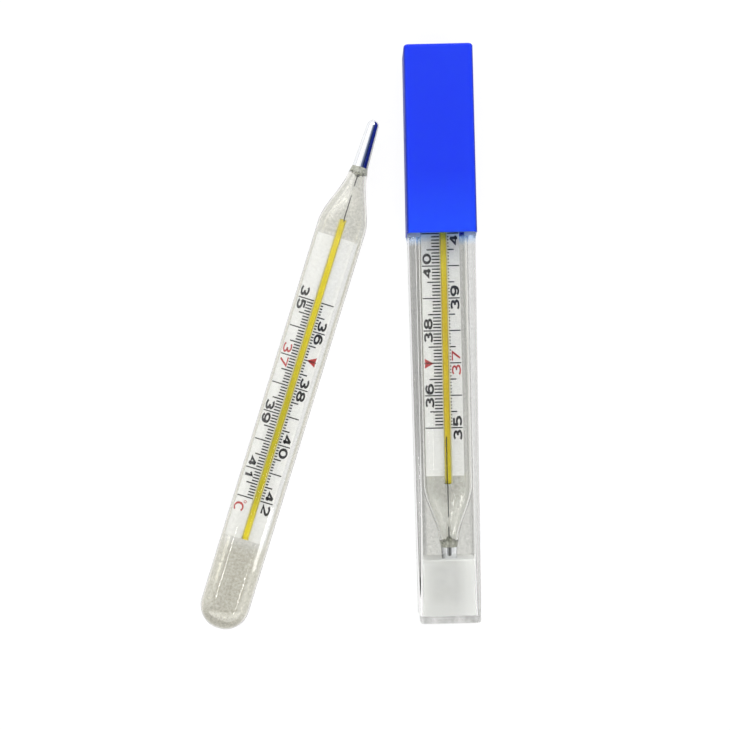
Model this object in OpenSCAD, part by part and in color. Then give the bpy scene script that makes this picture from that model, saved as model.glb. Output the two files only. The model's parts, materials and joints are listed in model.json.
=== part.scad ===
// Clinical thermometer set: a mercury thermometer lying loose beside a second one in its closed clear case.
// Millimetres, +Z up. The case lies on its back on the XY plane with its axis along +Y, towards the cap.
// The origin is under the middle of the closed case.
// Each thermometer is built upright, with the bulb's tip at z = 0 and its front towards -Y, and then laid down.

/* [Glass tube] */
// Width of the oval tube
tube_w = 11.5; // [10.8:0.1:12.6]
// Thickness of the oval tube
tube_t = 7.6; // [7.2:0.1:9]
// Wall of the oval tube
tube_wall = 0.3; // [0.25:0.05:0.5]
// Squareness of the oval: 2 is a true ellipse
tube_power = 2.6; // [2.2:0.1:3.2]
// Length of the tube's straight stretch
straight_len = 93.1; // [88:0.1:100]
// Length of the shoulder between the tube and the neck
shoulder_len = 12.8; // [11:0.1:15]
// Radius of the neck where the tube ends
neck_r = 2.25; // [2.1:0.05:2.6]
// Wall of the tube at its neck, where the glass is drawn in
neck_glass = 0.55; // [0.4:0.05:0.65]

/* [Bulb] */
// Length of the bulb
bulb_len = 11.7; // [10:0.1:13]
// Radius of the bulb's round tip
bulb_tip_r = 1.42; // [1.2:0.02:1.6]
// Radius of the bulb where it meets the neck seal
bulb_root_r = 1.9; // [1.7:0.02:2.1]
// Wall of the bulb
bulb_wall = 0.25; // [0.2:0.05:0.4]
// Length of the fused seal that joins bulb, tube and neck tube
seal_len = 1.5; // [1:0.1:2.5]
// Radius of the cone on the seal that draws in to the neck tube
foot_r = 1; // [0.8:0.05:1.45]
// Height of that cone
foot_len = 0.8; // [0.5:0.1:2]

/* [Capillary] */
// Width of the stem
stem_w = 1.9; // [1.7:0.1:2.2]
// How far the stem lies beside its bore
stem_shift = 0.2; // [0:0.05:0.25]
// Depth of the stem behind the bore
stem_back = 0.6; // [0.5:0.05:0.7]
// Length of the stem
stem_len = 78.5; // [76:0.1:82]
// Clear glass above the top of the bore
stem_cap = 2; // [1:0.1:4]
// Radius of the capillary bore
bore_r = 0.14; // [0.12:0.01:0.17]
// Radius of the bore at the pinch that holds the reading
pinch_r = 0.06; // [0.04:0.01:0.08]
// Height of the pinch above the neck seal
pinch_rise = 4.3; // [3:0.1:7]
// Length of the bore's narrowing to each side of the pinch
pinch_reach = 1.1; // [0.4:0.1:1.2]
// Outside radius of the drawn neck tube
waist_r = 0.5; // [0.4:0.05:0.6]
// Outside radius of the neck tube where it meets the stem
flare_r = 0.65; // [0.6:0.05:0.7]
// Height of the cone from the neck tube out to the stem
flare_len = 5.5; // [4:0.1:6]
// Width of the yellow enamel behind the bore
backing_w = 0.65; // [0.6:0.05:1]
// Thickness of the yellow enamel
backing_t = 0.2; // [0.15:0.05:0.25]
// Length of the mercury thread's moving head
head_len = 5; // [4:0.5:8]

/* [Scale plate] */
// Width of the plate
plate_w = 9; // [8.8:0.1:9.6]
// Length of the plate
plate_len = 74.5; // [73:0.1:80]
// Thickness of the plate
plate_t = 0.5; // [0.3:0.05:0.8]
// Length of a whole degree's mark
degree_mark = 8.7; // [8:0.1:8.8]
// Length of a half degree's mark
half_mark = 6.3; // [5:0.1:7]
// Length of a tenth's mark
tenth_mark = 4; // [3:0.05:4.5]
// Breadth of a whole degree's mark
degree_line = 0.28; // [0.12:0.01:0.35]
// Breadth of a tenth's mark
tenth_line = 0.31; // [0.12:0.01:0.35]
// Height of the printed marks
ink_t = 0.03; // [0.02:0.01:0.06]
// Lowest degree on the scale
scale_low = 35; // [34:1:36]
// Highest degree on the scale
scale_high = 42; // [41:1:42]

/* [Loose thermometer] */
// From the cap's side out to the bulb's tip
loose_gap = 6.74; // [4:0.01:40]
// From the middle of the case to the bulb's tip, along the case
loose_y = 50.45; // [20:0.05:80]
// Turn from the case's axis
loose_turn = 161.6; // [150:0.1:170]
// Length of the neck tube
loose_neck_tube = 11.35; // [10:0.05:14]
// From the stem's foot to the plate's foot
loose_plate_lap = 4.3; // [1:0.1:6]
// From the plate's foot to the lowest degree
loose_scale_foot = 15.9; // [8:0.1:18]
// Length of one degree
loose_degree = 6.97; // [6.5:0.01:7.6]
// How far the resting mercury stands below the lowest degree
loose_drop = 19.8; // [0:0.1:20]
// Room between the plate's edge and the tube's wall
loose_plate_gap = 0.16; // [0.08:0.02:0.4]

/* [Cased thermometer] */
// Length of the neck tube
cased_neck_tube = 13.1; // [10:0.1:14]
// From the stem's foot to the plate's foot
cased_plate_lap = 1.78; // [1:0.02:6]
// From the plate's foot to the lowest degree
cased_scale_foot = 11.2; // [8:0.01:18]
// Length of one degree
cased_degree = 7.56; // [6.5:0.01:7.9]
// How far the resting mercury stands below the lowest degree
cased_drop = 2; // [0:0.1:10]
// Room between the plate's edge and the tube's wall
cased_plate_gap = 0.28; // [0.08:0.02:0.4]
// How far the thermometer lies beside the middle of the case
cased_shift = 0.3; // [-0.3:0.05:0.3]

/* [Case] */
// Thickness of the case's base
base_t = 1.5; // [1.2:0.1:3]
// Wall of the case at its base
case_wall = 0.85; // [0.8:0.05:1.6]
// Wall of the neck that the cap slides over
neck_wall = 0.8; // [0.6:0.1:1.2]
// Length of that neck
neck_len = 12; // [8:0.5:20]
// Step from the cap's side down to the case's side
body_step = 0.4; // [0.2:0.05:0.8]
// Step from the cap's side down to the case's rim
rim_step = 0.17; // [0.05:0.01:0.3]
// Length of the rim under the cap
rim_len = 1.7; // [1:0.1:3]
// Corner radius of the case and of its cap
corner_r = 1.1; // [0.9:0.1:1.6]
// Corner radius of the pocket
pocket_r = 0.3; // [0.2:0.1:0.5]
// Rounding of the case's bottom edge
base_edge = 0.5; // [0.2:0.1:0.8]
// Play beside the tube at the case's mouth
mouth_play = 0.45; // [0.35:0.05:0.8]
// Play beside the tube at the foot of the pocket
foot_play = 0.4; // [0.35:0.05:0.6]
// Play in front of the tube and behind it
front_play = 0.3; // [0.2:0.05:0.6]

/* [Cap] */
// Length of the cap
cap_len = 43.6; // [38:0.1:52]
// Wall of the cap
cap_wall = 0.95; // [0.8:0.05:1.5]
// Thickness of the cap's top
cap_top = 1.35; // [1:0.05:2.5]
// Clearance between the cap and the neck
cap_fit = 0.1; // [0.05:0.01:0.2]
// How much narrower the cap is at its top, on each side
cap_draft = 0.13; // [0:0.01:0.2]
// Rounding of the cap's top edge
cap_edge = 0.7; // [0.3:0.1:0.8]
// Rise of the cap's top at its middle
cap_crown = 0.35; // [0.1:0.05:0.6]
// Room above the thermometer's end
head_room = 1.7; // [1:0.1:3.9]

/* [Cushion] */
// Height of the cushion
cushion_h = 12.8; // [11:0.1:17]
// Height of the cushion's floor under the bulb
cushion_floor = 3.6; // [3:0.1:7]
// Gap between the cushion and the pocket's walls
cushion_gap = 0.1; // [0.05:0.01:0.3]
// Gap between the bulb and the cushion
bulb_gap = 0.3; // [0.2:0.05:0.5]
// Rounding of the cushion's top edge
cushion_edge = 0.4; // [0.2:0.1:1]

/* [Hidden] */

// Steps of the faceted shells: sides round the oval, rings along a curve and segments in a rounded corner
oval_sides = 36;
curve_steps = 7;
corner_steps = 6;
$fn = 48;

// Room between mercury and glass, and between the marks and the stem
mercury_gap = 0.02;
ink_gap = 0.02;
// Share of the shoulder's curve that eases in and out; the rest is a straight cone
shoulder_ease = 0.75;
// Where the tube's last ring stands on its round end, in degrees
pole_angle = 85;
// How far a cutting shape runs past the face that it cuts
over = 1;

// Heights along a thermometer, from the bulb's tip
neck_z = bulb_len + seal_len;
shoulder_z = neck_z + shoulder_len;
round_z = shoulder_z + straight_len;
thermometer_len = round_z + tube_w / 2;
foot_z = neck_z + foot_len;
pinch_z = neck_z + pinch_rise;

// Front and back of the plate, behind the stem
plate_front = stem_back + ink_t + ink_gap;
plate_back = plate_front + plate_t;
// The plate lies towards one side of the tube, as far as the wall's curve behind the plate lets it
plate_reach = oval_reach(tube_w / 2 - tube_wall, tube_t / 2 - tube_wall, plate_back) - plate_w / 2;

// Sections of the pocket, the neck, the cap and the case: width and thickness
pocket_foot_w = tube_w + 2 * foot_play;
pocket_mouth_w = tube_w + 2 * mouth_play;
pocket_t = tube_t + 2 * front_play;
neck_w = pocket_mouth_w + 2 * neck_wall;
neck_t = pocket_t + 2 * neck_wall;
cap_inner_w = neck_w + 2 * cap_fit;
cap_inner_t = neck_t + 2 * cap_fit;
cap_w = cap_inner_w + 2 * cap_wall;
case_t = cap_inner_t + 2 * cap_wall;
case_top_w = cap_w - 2 * body_step;
case_base_w = pocket_foot_w + 2 * case_wall;
// Corner radii of the neck and of the cap's hollow
neck_corner_r = pocket_r + cap_fit;
cap_inner_r = neck_corner_r + cap_fit;

// Heights along the case, from the outside of its base
tip_z = base_t + cushion_floor;
closed_len = tip_z + thermometer_len + head_room + cap_top;
case_len = closed_len - cap_len;
cushion_top_z = base_t + cushion_h;

// Curves
function signed_power(v, e) = sign(v) * pow(abs(v), e);
function smooth(t) = t * t * (3 - 2 * t);
function mix(a, b, t) = a + (b - a) * t;
function reversed(list) = [for (i = [len(list) - 1 : -1 : 0]) list[i]];
function oval_reach(a, b, y) = a * pow(1 - pow(y / b, tube_power), 1 / tube_power);

// A ring of the oval tube: half width a, half thickness b, squareness p
function oval_ring(z, a, b, p) = [
  for (i = [0 : oval_sides - 1])
    let (t = 360 * i / oval_sides)
    [a * signed_power(cos(t), 2 / p), b * signed_power(sin(t), 2 / p), z]
];

// The tube's rings from the neck to the round end, drawn in by an inset that changes along the shoulder
function tube_rings(neck_inset, inset) = [
  for (i = [0 : curve_steps])
    let (t = i / curve_steps, s = mix(t, smooth(t), shoulder_ease), drawn = mix(neck_inset, inset, t))
    oval_ring(neck_z + shoulder_len * t, mix(neck_r, tube_w / 2, s) - drawn, mix(neck_r, tube_t / 2, s) - drawn,
              mix(2, tube_power, t)),
  for (i = [0 : curve_steps])
    let (t = pole_angle * i / curve_steps)
    oval_ring(round_z + (tube_w / 2 - inset) * sin(t), (tube_w / 2 - inset) * cos(t),
              (tube_t / 2 - inset) * cos(t), tube_power)
];

// A ring of a rounded rectangle
function box_ring(z, w, t, r) = [
  for (corner = [0 : 3], k = [0 : corner_steps])
    let (
      a = 90 * (corner + k / corner_steps),
      side_x = corner == 0 || corner == 3 ? 1 : -1,
      side_y = corner < 2 ? 1 : -1
    )
    [side_x * (w / 2 - r) + r * cos(a), side_y * (t / 2 - r) + r * sin(a), z]
];

// Width of the pocket at a height in the case
function pocket_w(z) = mix(pocket_foot_w, pocket_mouth_w, (z - base_t) / (case_len + neck_len - base_t));

// A closed skin through a list of rings, which runs down the outside of the shape
module loft(rings) {
  n = len(rings[0]);
  last = len(rings) - 1;
  sides = [
    for (i = [0 : last - 1], j = [0 : n - 1])
      let (a = i * n + j, b = i * n + (j + 1) % n)
      each [[a, b, b + n], [a, b + n, a + n]]
  ];
  ends = [[for (j = [n - 1 : -1 : 0]) j], [for (j = [0 : n - 1]) last * n + j]];
  polyhedron([for (ring = rings) each ring], concat(sides, ends));
}

// Half of the bulb's outline, drawn in by an inset
module bulb_outline(inset) {
  intersection() {
    union() {
      translate([0, bulb_tip_r]) circle(bulb_tip_r - inset);
      polygon([
        [0, bulb_tip_r],
        [bulb_tip_r - inset, bulb_tip_r],
        [bulb_root_r - inset, bulb_len],
        [0, bulb_len]
      ]);
    }
    translate([0, inset]) square([bulb_root_r - inset, bulb_len - inset]);
  }
}

// The stem's section: a round front, a flat back and the groove that holds the enamel
module stem_section() {
  difference() {
    translate([stem_shift, 0]) intersection() {
      circle(stem_w / 2);
      translate([-stem_w / 2, -stem_w / 2]) square([stem_w, stem_w / 2 + stem_back]);
    }
    translate([stem_shift - backing_w / 2, stem_back - backing_t]) square([backing_w, backing_t + over]);
    circle(bore_r);
  }
}

// A column of mercury in the bore
module mercury_column(from, to) {
  translate([0, 0, from]) cylinder(r = bore_r - mercury_gap, h = to - from);
}

// Lays what stands upright in the case on its back
module in_case(z) {
  translate([0, z - closed_len / 2, case_t / 2]) rotate([-90, 0, 0]) children();
}

module cased() {
  in_case(tip_z) translate([cased_shift, 0, 0]) children();
}

module loose() {
  translate([-cap_w / 2 - loose_gap, loose_y, tube_t / 2]) rotate([-90, 0, loose_turn]) children();
}

module case_body() {
  outside = [
    box_ring(case_len + neck_len, neck_w, neck_t, neck_corner_r),
    box_ring(case_len, neck_w, neck_t, neck_corner_r),
    box_ring(case_len, cap_w - 2 * rim_step, case_t, corner_r),
    box_ring(case_len - rim_len, case_top_w, case_t, corner_r),
    box_ring(base_edge, case_base_w, case_t, corner_r),
    box_ring(0, case_base_w - 2 * base_edge, case_t - 2 * base_edge, corner_r - base_edge)
  ];
  pocket = [
    box_ring(case_len + neck_len + over, pocket_w(case_len + neck_len + over), pocket_t, pocket_r),
    box_ring(base_t, pocket_foot_w, pocket_t, pocket_r)
  ];
  color([0.82, 0.83, 0.81, 0.4]) in_case(0) difference() {
    loft(outside);
    loft(pocket);
  }
}

module case_cushion() {
  function cushion_ring(z, inset) =
    let (drawn = 2 * (cushion_gap + inset))
    box_ring(z, pocket_w(base_t) - drawn, pocket_t - drawn, pocket_r);
  crown = [
    for (i = [curve_steps : -1 : 0])
      let (a = 90 * i / curve_steps)
      cushion_ring(cushion_top_z - cushion_edge * (1 - sin(a)), cushion_edge * (1 - cos(a)))
  ];
  color([0.82, 0.82, 0.8]) in_case(0) difference() {
    loft(concat(crown, [cushion_ring(base_t, 0)]));
    translate([cased_shift, 0, tip_z]) rotate_extrude() bulb_outline(-bulb_gap);
  }
}

module case_cap() {
  top_w = cap_w - 2 * cap_draft;
  dome = [
    for (i = [curve_steps : -1 : 0])
      let (a = 90 * i / curve_steps, inset = cap_edge * (1 - cos(a)))
      box_ring(closed_len - cap_crown - cap_edge * (1 - sin(a)), top_w - 2 * inset, case_t - 2 * inset,
               corner_r - inset)
  ];
  crown_inset = (cap_edge + corner_r) / 2;
  crown = box_ring(closed_len, top_w - 2 * crown_inset, case_t - 2 * crown_inset, corner_r - crown_inset);
  hollow = [
    box_ring(closed_len - cap_top, cap_inner_w - 2 * cap_draft, cap_inner_t, cap_inner_r),
    box_ring(case_len + neck_len, cap_inner_w, cap_inner_t, cap_inner_r),
    box_ring(case_len - over, cap_inner_w, cap_inner_t, cap_inner_r)
  ];
  color([0.16, 0.29, 0.98]) in_case(0) difference() {
    loft(concat([crown], dome, [box_ring(case_len, cap_w, case_t, corner_r)]));
    loft(hollow);
  }
}

module envelope() {
  color([0.85, 0.86, 0.84, 0.35]) loft(concat(reversed(tube_rings(0, 0)), tube_rings(neck_glass, tube_wall)));
}

module bulb() {
  color([0.8, 0.82, 0.85, 0.6]) rotate_extrude() difference() {
    bulb_outline(0);
    bulb_outline(bulb_wall);
  }
}

module bulb_mercury() {
  color([0.72, 0.74, 0.78]) union() {
    rotate_extrude() bulb_outline(bulb_wall + mercury_gap);
    mercury_column(bulb_len, pinch_z - pinch_reach);
  }
}

module neck_seal() {
  color([0.55, 0.56, 0.5]) rotate_extrude() polygon([
    [bore_r, bulb_len],
    [bulb_root_r, bulb_len],
    [neck_r, neck_z],
    [foot_r, neck_z],
    [waist_r, foot_z],
    [bore_r, foot_z]
  ]);
}

module neck_tube(length) {
  stem_z = neck_z + length;
  waist_z = stem_z - flare_len;
  color([0.88, 0.88, 0.86, 0.5]) rotate_extrude() polygon([
    [bore_r, foot_z],
    [waist_r, foot_z],
    [waist_r, waist_z],
    [flare_r, stem_z],
    [bore_r, stem_z],
    [bore_r, pinch_z + pinch_reach],
    [pinch_r, pinch_z],
    [bore_r, pinch_z - pinch_reach]
  ]);
}

module stem(neck_tube_len) {
  color([0.93, 0.91, 0.62, 0.6]) translate([0, 0, neck_z + neck_tube_len]) union() {
    linear_extrude(stem_len - stem_cap) stem_section();
    translate([0, 0, stem_len - stem_cap]) linear_extrude(stem_cap) union() {
      stem_section();
      circle(bore_r);
    }
  }
}

module backing(neck_tube_len) {
  color([0.9, 0.86, 0.2]) translate([stem_shift - backing_w / 2, stem_back - backing_t, neck_z + neck_tube_len])
    cube([backing_w, backing_t, stem_len]);
}

module scale_plate(shift, plate_z) {
  color([0.91, 0.91, 0.9]) translate([shift - plate_w / 2, plate_front, plate_z])
    cube([plate_w, plate_t, plate_len]);
}

module scale_marks(shift, scale_z, degree) {
  color([0.08, 0.08, 0.08]) for (i = [0 : 10 * (scale_high - scale_low)]) {
    length = i % 10 == 0 ? degree_mark : i % 5 == 0 ? half_mark : tenth_mark;
    breadth = i % 10 == 0 ? degree_line : tenth_line;
    translate([shift - length / 2, plate_front - ink_t, scale_z + i * degree / 10 - breadth / 2])
      cube([length, ink_t, breadth]);
  }
}

module mercury_thread(rest_z) {
  color([0.35, 0.36, 0.38]) mercury_column(pinch_z + pinch_reach, rest_z - head_len);
}

module mercury_head(rest_z) {
  color([0.45, 0.46, 0.48]) mercury_column(rest_z - head_len, rest_z);
}

// Heights and sides of each thermometer's own plate, scale and resting mercury
loose_plate_x = plate_reach - loose_plate_gap;
loose_plate_z = neck_z + loose_neck_tube + loose_plate_lap;
loose_scale_z = loose_plate_z + loose_scale_foot;
loose_rest_z = loose_scale_z - loose_drop;
cased_plate_x = cased_plate_gap - plate_reach;
cased_plate_z = neck_z + cased_neck_tube + cased_plate_lap;
cased_scale_z = cased_plate_z + cased_scale_foot;
cased_rest_z = cased_scale_z - cased_drop;

case_body();
case_cushion();
case_cap();
loose() envelope();  // loose_envelope
loose() bulb();  // loose_bulb
loose() bulb_mercury();  // loose_bulb_mercury
loose() neck_seal();  // loose_neck_seal
loose() neck_tube(loose_neck_tube);
loose() stem(loose_neck_tube);  // loose_stem
loose() backing(loose_neck_tube);  // loose_backing
loose() scale_plate(loose_plate_x, loose_plate_z);  // loose_scale_plate
loose() scale_marks(loose_plate_x, loose_scale_z, loose_degree);  // loose_scale_marks
loose() mercury_thread(loose_rest_z);  // loose_mercury_thread
loose() mercury_head(loose_rest_z);  // loose_mercury_head
cased() envelope();  // cased_envelope
cased() bulb();  // cased_bulb
cased() bulb_mercury();  // cased_bulb_mercury
cased() neck_seal();  // cased_neck_seal
cased() neck_tube(cased_neck_tube);
cased() stem(cased_neck_tube);  // cased_stem
cased() backing(cased_neck_tube);  // cased_backing
cased() scale_plate(cased_plate_x, cased_plate_z);  // cased_scale_plate
cased() scale_marks(cased_plate_x, cased_scale_z, cased_degree);  // cased_scale_marks
cased() mercury_thread(cased_rest_z);  // cased_mercury_thread
cased() mercury_head(cased_rest_z);  // cased_mercury_head
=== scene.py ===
import json
import math

import bmesh
import bpy
from mathutils import Matrix, Vector


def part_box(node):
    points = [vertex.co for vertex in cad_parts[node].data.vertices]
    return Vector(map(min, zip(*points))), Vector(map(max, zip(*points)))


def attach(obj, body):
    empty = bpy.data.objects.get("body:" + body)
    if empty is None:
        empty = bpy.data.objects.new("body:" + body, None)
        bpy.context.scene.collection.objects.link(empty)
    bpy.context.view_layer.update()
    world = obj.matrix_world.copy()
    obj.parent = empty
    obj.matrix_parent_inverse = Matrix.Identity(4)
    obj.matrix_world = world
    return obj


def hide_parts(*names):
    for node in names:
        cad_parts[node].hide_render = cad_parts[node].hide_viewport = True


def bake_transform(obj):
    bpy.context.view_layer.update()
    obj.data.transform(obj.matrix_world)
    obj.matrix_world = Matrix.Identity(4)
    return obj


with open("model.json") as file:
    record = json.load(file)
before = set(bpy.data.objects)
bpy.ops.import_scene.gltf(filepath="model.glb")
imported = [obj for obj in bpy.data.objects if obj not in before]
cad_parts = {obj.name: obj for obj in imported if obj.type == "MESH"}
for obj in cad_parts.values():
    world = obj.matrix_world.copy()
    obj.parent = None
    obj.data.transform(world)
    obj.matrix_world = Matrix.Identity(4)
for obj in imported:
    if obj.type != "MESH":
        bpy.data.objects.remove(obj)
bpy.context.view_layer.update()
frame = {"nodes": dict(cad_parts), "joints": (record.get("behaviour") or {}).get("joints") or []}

MM = 0.001
UP = Vector((0, 0, 1))


def mm(*lengths):
    return tuple(length * MM for length in lengths)


# The glass tube, as in the solids: walls, neck, shoulder and the squareness of its oval
TUBE_WALL = 0.3 * MM
NECK_GLASS = 0.55 * MM
TUBE_POWER = 2.6
NECK_R = 2.25 * MM
SHOULDER_LEN = 12.8 * MM
SHOULDER_EASE = 0.75
# Where the tube's painted shade changes: at the plate's start and end, at the round end, and beside the plate
PLATE_START = mm(28.4, 29.4)
PLATE_END = mm(102, 106)
TIP_START = mm(120.5, 122)
PLATE_SIDE = mm(4.7, 5.1)

# The bulb, the seal behind it and the drawn capillary that leads to the stem
BULB_TIP_R = 1.42 * MM
BULB_ROOT_R = 1.9 * MM
BULB_WALL = 0.25 * MM
FOOT_R = 1.0 * MM
FOOT_LEN = 0.8 * MM
WAIST_R = 0.5 * MM
FLARE_R = 0.65 * MM
FLARE_LEN = 5.5 * MM
PINCH_RISE = 4.3 * MM
PINCH_REACH = 1.1 * MM
# The bore is drawn finer than in the solids, as fine as the thread looks
BORE_R = 0.08 * MM
PINCH_R = 0.004 * MM
PINCH_EDGE = 0.1 * MM
# How far the mercury runs into the glass round it, so that no air shows between the two
THREAD_CONTACT = 0.005 * MM
BULB_CONTACT = 0.03 * MM

# The stem's flat back and the rounding of its closed end
STEM_BACK = 0.6 * MM
STEM_EDGE = 0.15 * MM
# The yellow stripes carry painted shade, darker along their middles: the places along the frame where the
# shade starts and is full, and where it ends, and how deep it is
LOOSE_STRIPE = mm(18, -20, -38, -44)
CASED_STRIPE = mm(17.8, 8.4, -22.2, -30.4)
LOOSE_PAINTED_SHADE = (0.69, 0.72, 0.5)
CASED_PAINTED_SHADE = (0.86, 0.79, 0.7)
# The pale strips to each side of the yellow stripe, a painted highlight of the rod's edges: its reach from
# the stem's middle, its depth and its room
PALE_REACH = 0.7 * MM
PALE_T = 0.12 * MM
PALE_GAP = 0.01 * MM

# The print: size and place of the numerals, the arrow at the body's temperature and the unit
SCALE_LOW = 35
SCALE_HIGH = 42
NORMAL = 37
DIGIT_W = 2.55 * MM
DIGIT_H = 2.12 * MM
UNIT_H = 2.4 * MM
DIGIT_GAP = 0.7 * MM
BLACK_LINE = 0.68 * MM
RED_LINE = 0.52 * MM
PEN_FLAT = 0.65
DEGREE_R = 0.28 * MM
DEGREE_LINE = 0.16 * MM
ODD_ACROSS = 3.2 * MM
EVEN_ACROSS = -3.15 * MM
ARROW_APEX = -2.05 * MM
ARROW_TAIL = -4.2 * MM
ARROW_NOTCH = 0.12 * MM
ARROW_W = 2.35 * MM
UNIT_RISE = 2.6 * MM
PRINT_T = 0.03 * MM
# Its strokes: the longest mitre and the sharpest turn, the gap in line widths that closes a path, and the
# degrees to a step of an arc
LINE_MITRE = 1.6
LEAST_TURN = 0.1
CLOSED_GAP = 0.01
ARC_STEP = 12

# The case, its cushion and its cap
BASE_T = 1.5 * MM
BASE_EDGE = 0.5 * MM
BODY_STEP = 0.4 * MM
RIM_STEP = 0.17 * MM
RIM_LEN = 1.7 * MM
NECK_LEN = 12.0 * MM
NECK_WALL = 0.8 * MM
CASE_WALL = 0.85 * MM
POCKET_R = 0.3 * MM
CORNER_R = 1.1 * MM
CAP_WALL = 0.95 * MM
CAP_FIT = 0.1 * MM
CAP_DRAFT = 0.13 * MM
CAP_EDGE = 0.7 * MM
CAP_CROWN = 0.35 * MM
CAP_TOP = 1.35 * MM
CAP_FADE = 14.0 * MM
# Where the painted shade on the cap's sides starts and is full
CAP_SIDE = mm(7.5, 7.9)
CROWN_INSET = 4.0 * MM
CROWN_R = 0.3 * MM
# The lower corners, which the photograph hides, are nearly square: light leaves them straight down
LOWER_R = 0.12 * MM
BASE_BEVEL = 0.1
CUSHION_EDGE = 0.2 * MM
CUSHION_FOOT_EDGE = 0.05 * MM
CUSHION_DRAW = 0.08 * MM
CUSHION_GAP = 0.1 * MM
BULB_GAP = 0.3 * MM

# Where the case's painted shade changes: up its back, at its left gap and wall, along that wall, at its right
# wall and at its base
GREY_TOP = mm(-4, -3)
LEFT_GAP = mm(-4.5, -5.1)
LEFT_WALL = mm(-5.4, -5.6)
WALL_RISE = mm(30, 46)
RIGHT_WALL = mm(5.6, 6.1)
SLAB = (BASE_T + 0.1 * MM, BASE_T - 0.1 * MM)
# The rim's painted blue reflection of the cap, and its frost, from the cap's mouth: where each starts and is
# full, and where it ends
RIM_BLUE = mm(-2.2, -0.3, 0.3, 1.2)
RIM_FROST = mm(-1.1, -0.7, 0.1, 0.5)
FROST_SIDE = mm(4.9, 5.2)
# Where the cushion's painted light makes it paler on its right, and where the painted shade of its top edge
# starts
CUSHION_RIGHT = mm(1.5, 4)
CUSHION_TOP = mm(-0.9, -0.1)
# The cushion's painted light, paler towards its foot and its sides: an axis, the places between which each
# sets in, and its colour
CUSHION_PAINTED_LIGHT = (
    ("Y", (BASE_T + 4.2 * MM, BASE_T + 2.2 * MM), (0.60, 0.605, 0.59)),
    ("X", mm(-2, -6), (0.61, 0.615, 0.60)),
    ("X", CUSHION_RIGHT, (0.65, 0.655, 0.64)),
)
# The bulbs' mercury is darker on one flank, with painted shade
FLANK = mm(-0.8, -1.8)

# Colours: the dark and the light end of a mottle, or one plain colour
# The loose tube's glass carries painted shade: greyer at its neck, beside and past the plate, and darkest at
# its tip
LOOSE_COLOURS = (
    ((0.74, 0.735, 0.69), (0.90, 0.895, 0.86)),
    ((0.85, 0.85, 0.84), (0.92, 0.92, 0.91)),
    ((0.69, 0.68, 0.625), (0.87, 0.86, 0.81)),
    ((0.55, 0.54, 0.49), (0.76, 0.75, 0.695)),
)
CASED_CLEAR = ((0.86, 0.86, 0.83), (0.97, 0.97, 0.95))
CASED_WINDOW = ((0.865, 0.865, 0.86), (0.915, 0.915, 0.91))
CASED_COLOURS = (CASED_CLEAR, CASED_WINDOW, CASED_CLEAR, CASED_CLEAR)
SEAL_COLOURS = ((0.21, 0.22, 0.165), (0.74, 0.745, 0.65))
CASE_FRONT = ((0.97, 0.97, 0.96), (0.995, 0.995, 0.99))
# Painted shade on the case: its back, its left gap, its walls and its base slab are greyed
CASE_BACK_SHADE = ((0.64, 0.64, 0.605), (0.84, 0.84, 0.81))
GAP_SHADE = ((0.40, 0.40, 0.385), (0.62, 0.62, 0.60))
UPPER_WALL_SHADE = ((0.13, 0.13, 0.12), (0.30, 0.30, 0.285))
LOWER_WALL_SHADE = ((0.34, 0.34, 0.325), (0.52, 0.52, 0.50))
RIGHT_WALL_SHADE = ((0.50, 0.50, 0.48), (0.70, 0.70, 0.68))
SLAB_SHADE = ((0.30, 0.30, 0.285), (0.72, 0.72, 0.70))
RIM_CAP_REFLECTION = ((0.40, 0.60, 0.93), (0.52, 0.71, 0.97))
MERCURY_COLOURS = ((0.85, 0.86, 0.88), (0.93, 0.94, 0.95))
FLANK_SHADE = (0.26, 0.265, 0.27)
YELLOW = ((0.81, 0.665, 0.012), (0.89, 0.75, 0.022))
CAP_COLOURS = ((0.0075, 0.034, 0.66), (0.011, 0.062, 0.73))
CAP_SIDE_SHADE = (0.004, 0.016, 0.25)
# The cushion's darker core is painted shade of the bulb inside it, and its top edge is darkened with painted
# shade
CUSHION_SHADED_CORE = ((0.52, 0.525, 0.51), (0.58, 0.585, 0.57))
CUSHION_TOP_SHADE = ((0.50, 0.505, 0.49), (0.62, 0.625, 0.61))
FLOOR_COLOURS = ((0.12, 0.12, 0.12), (0.13, 0.13, 0.13))

# Grains: how many to the metre, how much detail, and for streaks their stretch
MOTTLE = (1700, 5)
FINE_MOTTLE = (2600, 5)
STREAKS = (900, 3, (1, 0.04, 1))
SLAB_BREAKS = (450, 3)
SEAL_BLOBS = (2200, 3)
SWIRL = (700, 2)
FLECKS = (3000, 3)
INK_WEAR = (5000, 3)
CAP_CLOUD = (60, 3)
CAP_SHEEN = (900, 3)
CAP_SATIN = (6000, 2)
CUSHION_CLOUD = (350, 4)
CUSHION_SATIN = (2500, 3)
FLOOR_CLOUD = (30, 2)
# Noise gathers between these two values
NOISE_CORE = (0.3, 0.7)

# Roughness, from the low end of a grain to its high end
TUBE_ROUGH = (0, 0.03)
SEAL_ROUGH = (0.02, 0.2)
CASE_ROUGH = (0.25, 0.015)
FROST_ROUGH = (0, 0.6)
MERCURY_ROUGH = (0.03, 0.08)
ENAMEL_ROUGH = (0.3, 0.45)
INK_ROUGH = (0.5, 0.7)
CAP_ROUGH = (0.42, 0.52)
CUSHION_ROUGH = (0.62, 0.78)

# Bumps: strength and depth
TUBE_BUMP = (0.05, 0.02 * MM)
CASE_BUMP = (0.08, 0.02 * MM)
SEAL_BUMP = (0.5, 0.1 * MM)
CAP_BUMP = (0.08, 0.01 * MM)
CUSHION_BUMP = (0.15, 0.03 * MM)

# Clear glass: its colours, roughness and bump
BULB = (((0.95, 0.96, 0.97), (0.99, 0.99, 0.99)), (0, 0.02), (0.02, 0.02 * MM))
STEM = (((0.96, 0.96, 0.95), (0.99, 0.99, 0.985)), TUBE_ROUGH, (0.01, 0.02 * MM))
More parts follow.
